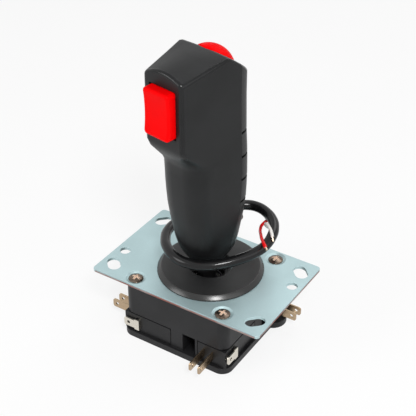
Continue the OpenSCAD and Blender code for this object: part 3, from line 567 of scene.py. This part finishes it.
class STICK_OT_cord(bpy.types.Operator):
    """The cord round the grip, its three wires with bare ends, and its grommet"""
    bl_idname = "stick.cord"
    bl_label = "Cord"

    def execute(self, context):
        size = sizes()
        sheath = tube("cord", CORD_ROUTE, size.cord_diameter, self.sheath_finish())
        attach(sheath, "stick")
        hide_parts("cord_sheath")
        finishes = {
            "red": glossy("red_insulation", (0.85, 0.004, 0.006), 0.35),
            "white": glossy("white_insulation", (0.82, 0.80, 0.76), 0.35),
            "black": glossy("black_insulation", (0.010, 0.010, 0.010), 0.32),
        }
        strand = metal("tinned_strands", (0.80, 0.66, 0.50), 0.32, streak=(1.0, 1.0, 30.0))
        bare_share = 0.62
        for colour, route in WIRE_ROUTES.items():
            node = "wire_" + colour
            bare = Vector(route[-1]).lerp(Vector(route[-2]), bare_share)
            wire = tube(node + "_skin", [*route[:-1], tuple(bare)], size.wire_diameter, finishes[colour])
            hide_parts(node)
            tip = tube(node + "_bare_end", [tuple(bare), route[-1]], size.strand_diameter, strand)
            for piece in (wire, tip):
                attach(piece, "stick")
        rubber = moulded("grommet_rubber", (0.012, 0.012, 0.012), 0.6, 0.4 * MM, 0.03 * MM)
        dressed("cord_grommet", [rubber], size.moulded_edge)
        return {"FINISHED"}

    def sheath_finish(self):
        paint = new_paint("cord_sheath")
        cloud = paint.noise(140.0, detail=2.0)
        ripple = paint.noise(300.0, detail=2.0)
        return paint.finish(
            Base_Color=paint.mixed(cloud, shade(colours().cord, 0.7), shade(colours().cord, 1.5)),
            Roughness=0.17 + 0.08 * (cloud - 0.5),
            Normal=paint.bumped(ripple, 0.02 * MM),
            Specular_IOR_Level=0.30)


class STICK_OT_grip(bpy.types.Operator):
    """The two grip shells and their screws"""
    bl_idname = "stick.grip"
    bl_label = "Grip"

    def execute(self, context):
        black = moulded(
            "grip_plastic", colours().grip, 0.42, 0.45 * MM, 0.04 * MM, specular=0.25, polish=0.27)
        plating = metal("grip_screw_plating", colours().screw, 0.30)
        dressed("grip_front_shell", [black], sizes().moulded_edge, smooth=34.0)
        dressed("grip_back_cover", [black], sizes().moulded_edge, smooth=34.0)
        dressed("grip_screws", [plating], sizes().stamped_edge)
        return {"FINISHED"}


class STICK_OT_buttons(bpy.types.Operator):
    """The trigger, the thumb button and the switches behind them"""
    bl_idname = "stick.buttons"
    bl_label = "Buttons"

    def execute(self, context):
        trigger_edge = 0.15 * MM
        thumb_edge = 0.3 * MM
        case_edge = 0.15 * MM
        plunger_edge = 0.08 * MM
        red = glossy("button_red", colours().button, 0.46, specular=0.04)
        trigger = dressed("trigger", [red], trigger_edge, smooth=30.0)
        press = next(joint for joint in frame["joints"] if joint["name"] == "trigger_press")
        self.soften_front(trigger.data, -Vector(press["axis"]))
        dressed("thumb_button", [red], thumb_edge, smooth=30.0, segments=3)
        case = moulded("switch_case_black", shade(colours().base, 0.9), 0.45, 0.4 * MM, 0.02 * MM)
        plunger = glossy("plunger_red", (0.45, 0.02, 0.02), 0.4)
        for node in ("trigger_switch", "thumb_switch"):
            dressed(node, [case], case_edge)
        for node in ("trigger_plunger", "thumb_plunger"):
            dressed(node, [plunger], plunger_edge)
        return {"FINISHED"}

    def soften_front(self, mesh, outward):
        """Gives the trigger's front its wide rounded rim and finger hollow."""
        reach = 4.6 * MM
        rim_radius = 1.4 * MM
        corner_radius = 2.2 * MM
        hollow = 1.0 * MM
        crease = math.radians(30.0)
        rows = 16
        work = bmesh.new()
        work.from_mesh(mesh)
        tip = max(vertex.co.dot(outward) for vertex in work.verts)
        foot = tip - reach
        cut = bmesh.ops.bisect_plane(
            work, geom=[*work.verts, *work.edges, *work.faces], plane_co=outward * foot,
            plane_no=outward, clear_outer=True)
        loop = [part for part in cut["geom_cut"] if isinstance(part, bmesh.types.BMEdge)]
        heights = [vertex.co.z for edge in loop for vertex in edge.verts]
        middle = (min(heights) + max(heights)) / 2
        half = (max(heights) - min(heights)) / 2
        cap = bmesh.ops.contextual_create(work, geom=loop)["faces"]
        pushed = bmesh.ops.extrude_face_region(work, geom=cap)["geom"]
        bmesh.ops.delete(work, geom=cap, context="FACES_ONLY")
        moved = [part for part in pushed if isinstance(part, bmesh.types.BMVert)]
        bmesh.ops.translate(work, verts=moved, vec=outward * reach)
        straight = half - corner_radius
        for row in range(rows + 1):
            level = middle + straight * (2 * row / rows - 1)
            faces = [f for f in work.faces if all(v.co.dot(outward) > foot - HAIR for v in f.verts)]
            edges = {edge for face in faces for edge in face.edges}
            corners = {vertex for face in faces for vertex in face.verts}
            bmesh.ops.bisect_plane(
                work, geom=[*corners, *edges, *faces], plane_co=(0, 0, level), plane_no=(0, 0, 1))
        front = [e for e in work.edges if all(v.co.dot(outward) > tip - HAIR for v in e.verts)]
        rim = [e for e in front if any(abs(f.normal.dot(outward)) < 0.5 for f in e.link_faces)]
        bmesh.ops.bevel(
            work, geom=rim, offset=rim_radius, offset_type="OFFSET", affect="EDGES", segments=5,
            profile=0.5, material=-1, clamp_overlap=False)
        for vertex in work.verts:
            proud = max(vertex.co.dot(outward) - foot, 0.0) / reach
            sag = hollow * max(1.0 - ((vertex.co.z - middle) / half) ** 2, 0.0)
            vertex.co -= outward * sag * proud
        bmesh.ops.recalc_face_normals(work, faces=work.faces)
        if any(len(edge.link_faces) != 2 for edge in work.edges):
            raise RuntimeError("The trigger's front is not closed")
        for face in work.faces:
            face.smooth = True
        work.to_mesh(mesh)
        work.free()
        mesh.set_sharp_from_angle(angle=crease)


class STICK_OT_plate(bpy.types.Operator):
    """The mounting plate, its screws and the dust washer"""
    bl_idname = "stick.plate"
    bl_label = "Plate and washer"

    def execute(self, context):
        dressed("mounting_plate", [zinc_plate()], sizes().stamped_edge)
        dressed("plate_screws", [screw_plating()], sizes().stamped_edge)
        self.dust_washer()
        return {"FINISHED"}

    def dust_washer(self):
        """The washer turned from its section, its nearly straight bevel inside the solid's rim."""
        low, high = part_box("dust_washer")
        centre = (low + high) / 2
        outer = (high.x - low.x) / 2
        thick = high.z - low.z
        bore = 11.2 * MM
        foot = 0.55 * MM
        shoulder = outer - 2.1 * MM
        bulge = 0.08 * MM
        rim_steps = 8
        rounding = 0.22 * MM
        crease = math.radians(25.0)
        section = [(bore, 0.0), (outer, 0.0)]
        for step in range(rim_steps + 1):
            share = step / rim_steps
            swell = bulge * 4 * share * (1 - share) * math.sqrt(0.5)
            radius = outer + (shoulder - outer) * share + swell
            section.append((radius, foot + (thick - foot) * share + swell))
        section.append((bore, thick))
        work = bmesh.new()
        ring = [work.verts.new((radius, 0.0, height)) for radius, height in section]
        sides = [work.edges.new(ends) for ends in zip(ring, [*ring[1:], ring[0]])]
        bmesh.ops.spin(
            work, geom=[*ring, *sides], cent=(0, 0, 0), axis=(0, 0, 1), dvec=(0, 0, 0),
            angle=2 * math.pi, steps=120, use_merge=True, use_duplicate=False)
        bmesh.ops.remove_doubles(work, verts=work.verts, dist=WELD)
        bmesh.ops.recalc_face_normals(work, faces=work.faces)
        creases = [edge for edge in work.edges if edge.calc_face_angle(0.0) > crease]
        bmesh.ops.bevel(
            work, geom=creases, offset=rounding, offset_type="OFFSET", affect="EDGES", segments=3,
            profile=0.5, material=-1, clamp_overlap=True)
        bmesh.ops.translate(work, verts=work.verts, vec=(centre.x, centre.y, low.z))
        for face in work.faces:
            face.smooth = True
        mesh = bpy.data.meshes.new("dust_washer_skin")
        work.to_mesh(mesh)
        work.free()
        mesh.materials.append(self.washer_finish(centre, outer))
        settled(bpy.data.objects.new("dust_washer_skin", mesh), "dust_washer")

    def washer_finish(self, centre, outer):
        """Satin black with a fine grain, and a polished rim whose colour is darkened as painted shade."""
        polished_from, polished_to = outer - 2.5 * MM, outer - 1.9 * MM
        # The rim's colour is darkened as painted shade, so the bevel stays dark away from its highlight.
        rim_painted_shade = (0.002, 0.002, 0.002)
        black = colours().washer
        paint = new_paint("washer_black")
        x, y, _ = paint.axes()
        off_x = x - centre.x
        off_y = y - centre.y
        rim = (off_x * off_x + off_y * off_y).step(polished_from ** 2, polished_to ** 2)
        cloud = paint.noise(70.0, detail=3.0)
        grain = paint.noise(2200.0, detail=2.0)
        tone = paint.mixed(cloud.step(0.3, 0.7), shade(black, 0.85), shade(black, 1.15))
        return paint.finish(
            Base_Color=paint.mixed(rim * 0.8, tone, rim_painted_shade),
            Roughness=0.52 + 0.10 * (cloud - 0.5) - 0.27 * rim,
            Normal=paint.bumped(grain, 0.006 * MM),
            Specular_IOR_Level=0.60)


class STICK_OT_base(bpy.types.Operator):
    """The pivot housing, the switch tray and the tray screws"""
    bl_idname = "stick.base"
    bl_label = "Base"

    def execute(self, context):
        black = moulded("base_plastic", colours().base, 0.46, 0.5 * MM, 0.03 * MM)
        plating = metal("tray_screw_plating", colours().screw, 0.30)
        dressed("pivot_housing", [black], sizes().moulded_edge)
        dressed("switch_tray", [black], sizes().moulded_edge)
        dressed("tray_screws", [plating], sizes().stamped_edge)
        return {"FINISHED"}


class STICK_OT_switches(bpy.types.Operator):
    """The four microswitches with their blades and plungers"""
    bl_idname = "stick.switches"
    bl_label = "Microswitches"

    def execute(self, context):
        case_edge = 0.25 * MM
        plunger_edge = 0.1 * MM
        blade_edge = 0.08 * MM
        case = moulded("microswitch_black", shade(colours().base, 0.8), 0.40, 0.5 * MM, 0.02 * MM)
        brass = metal("blade_brass", colours().brass, 0.26)
        silver = metal("blade_silver", colours().silver, 0.30)
        plunger = glossy("microswitch_plunger", (0.42, 0.02, 0.02), 0.35)
        for side, outward in OUTWARD.items():
            dressed("switch_case_" + side, [case], case_edge)
            dressed("plunger_" + side, [plunger], plunger_edge)
            blades = dressed("terminals_" + side, [brass, silver], blade_edge)
            self.plate_common(blades.data, Vector(outward))
        return {"FINISHED"}

    def plate_common(self, mesh, outward):
        """Silver plating on the common blade, the one that lies along the switch's back."""
        near = 0.5 * MM
        back = max(vertex.co.dot(outward) for vertex in mesh.vertices)
        work = bmesh.new()
        work.from_mesh(mesh)
        waiting = set(work.faces)
        while waiting:
            island = set()
            reached = [waiting.pop()]
            while reached:
                face = reached.pop()
                island.add(face)
                for edge in face.edges:
                    for other in edge.link_faces:
                        if other in waiting:
                            waiting.discard(other)
                            reached.append(other)
            if max(v.co.dot(outward) for f in island for v in f.verts) > back - near:
                for face in island:
                    face.material_index = 1
        work.to_mesh(mesh)
        work.free()


class STICK_OT_mechanism(bpy.types.Operator):
    """The gimbal, the shaft and what is on it"""
    bl_idname = "stick.mechanism"
    bl_label = "Mechanism"

    def execute(self, context):
        nylon_edge = 0.25 * MM
        turned = (1.0, 1.0, 8.0)
        drawn = (6.0, 6.0, 1.0)
        steel = metal("turned_steel", (0.56, 0.57, 0.58), 0.26, turned)
        blacked = metal("blacked_steel", (0.035, 0.035, 0.037), 0.42, turned, metallic=0.6)
        wire = metal("spring_wire", (0.045, 0.045, 0.048), 0.45, drawn, metallic=0.6)
        nylon = moulded("nylon", (0.62, 0.60, 0.55), 0.40, 0.6 * MM, 0.02 * MM)
        for node in ("gimbal_pins", "shaft_pin", "shaft_nut"):
            dressed(node, [steel], sizes().stamped_edge)
        for node in ("shaft", "spring_washer"):
            dressed(node, [blacked], sizes().stamped_edge)
        for node in ("gimbal_ring", "actuator"):
            dressed(node, [nylon], nylon_edge)
        dressed("retaining_clip", [wire], sizes().stamped_edge)
        self.centring_spring(wire)
        return {"FINISHED"}

    def centring_spring(self, material):
        """The conical spring, built in two lengths.

        Its sizes are in millimetres, as the solids have them.
        """
        wire = 1.4
        turns = 3
        per_turn = 14
        low, high = -8.78, -3.32
        narrow, wide = 6.1, 11.5
        steps = turns * per_turn
        route = []
        for step in range(steps + 1):
            share = step / steps
            angle = 2 * math.pi * turns * share
            radius = narrow + (wide - narrow) * share
            height = low + (high - low) * share
            route.append((radius * math.cos(angle), radius * math.sin(angle), height))
        upper = self.coil("spring_upper", route[steps // 2:], wire, material)
        lower = self.coil("spring_lower", route[:steps // 2 + 1], wire, material)
        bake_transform(upper)
        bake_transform(lower)
        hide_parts("centring_spring")

    def coil(self, name, route, diameter, material):
        """A length of the spring as a mesh."""
        path = tube(name + "_path", route, diameter * MM, material)
        mesh = bpy.data.meshes.new_from_object(path)
        mesh.name = name
        bpy.data.objects.remove(path)
        piece = bpy.data.objects.new(name, mesh)
        bpy.context.scene.collection.objects.link(piece)
        return piece


class STICK_PT_panel(bpy.types.Panel):
    """Shows a button for each step that dresses the flight stick"""
    bl_idname = "STICK_PT_panel"
    bl_label = "Flight Stick"
    bl_space_type = "VIEW_3D"
    bl_region_type = "UI"
    bl_category = "Flight Stick"

    def draw(self, context):
        for operator in OPERATORS:
            self.layout.operator(operator.bl_idname)


OPERATORS = (
    STICK_OT_stage, STICK_OT_cord, STICK_OT_grip, STICK_OT_buttons, STICK_OT_plate, STICK_OT_base,
    STICK_OT_switches, STICK_OT_mechanism,
)
CLASSES = (StickSizes, StickColours, *OPERATORS, STICK_PT_panel)


def register():
    for cls in CLASSES:
        bpy.utils.register_class(cls)
    bpy.types.Scene.stick_sizes = PointerProperty(type=StickSizes)
    bpy.types.Scene.stick_colours = PointerProperty(type=StickColours)


def unregister():
    del bpy.types.Scene.stick_colours
    del bpy.types.Scene.stick_sizes
    for cls in reversed(CLASSES):
        bpy.utils.unregister_class(cls)


def main():
    register()
    bpy.ops.stick.stage()
    bpy.ops.stick.cord()
    bpy.ops.stick.grip()
    bpy.ops.stick.buttons()
    bpy.ops.stick.plate()
    bpy.ops.stick.base()
    bpy.ops.stick.switches()
    bpy.ops.stick.mechanism()


if __name__ == "__main__":
    main()
